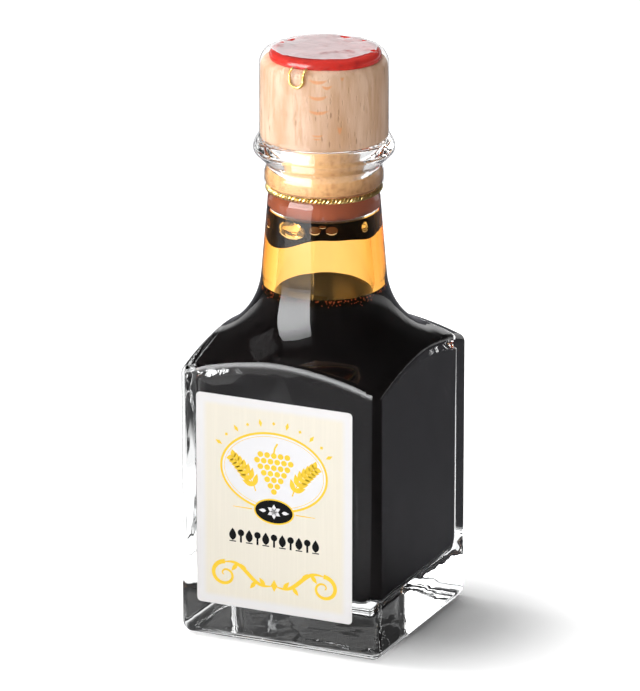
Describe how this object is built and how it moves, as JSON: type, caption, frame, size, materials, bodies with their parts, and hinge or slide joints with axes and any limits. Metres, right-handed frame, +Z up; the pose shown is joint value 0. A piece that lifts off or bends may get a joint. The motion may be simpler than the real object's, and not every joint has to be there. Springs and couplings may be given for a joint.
{
  "type": "vinegar bottle",
  "caption": "Square heavy-glass bottle of dark vinegar with a turned wooden stopper, red wax seal, gold cord, clear film and a paper label.",
  "frame": {"origin": "centre of the base, on the surface the bottle stands on", "axes": "+Z up along the bottle's axis, the label on the -Y face, +X to the right seen from the label"},
  "size_m": [0.048, 0.0481, 0.1311],
  "materials": {
    "clear_glass": "clear, polished heavy glass",
    "vinegar": "near-black liquid, amber where it is thin",
    "beech": "fine sanded, unvarnished beech",
    "cork": "smooth pale cork",
    "red_wax": "glossy sealing wax",
    "gold_cord": "twisted metallic thread",
    "clear_film": "thin clear shrink film with creases",
    "label_paper": "matt printed paper"
  },
  "bodies": {
    "root": {"bottle": "clear_glass", "vinegar": "vinegar", "stopper_head": "beech", "stopper_stem": "cork", "wax_seal": "red_wax", "cord_loop": "gold_cord", "gold_cord": "gold_cord", "film_sleeve": "clear_film", "label": "label_paper"}
  },
  "joints": []
}
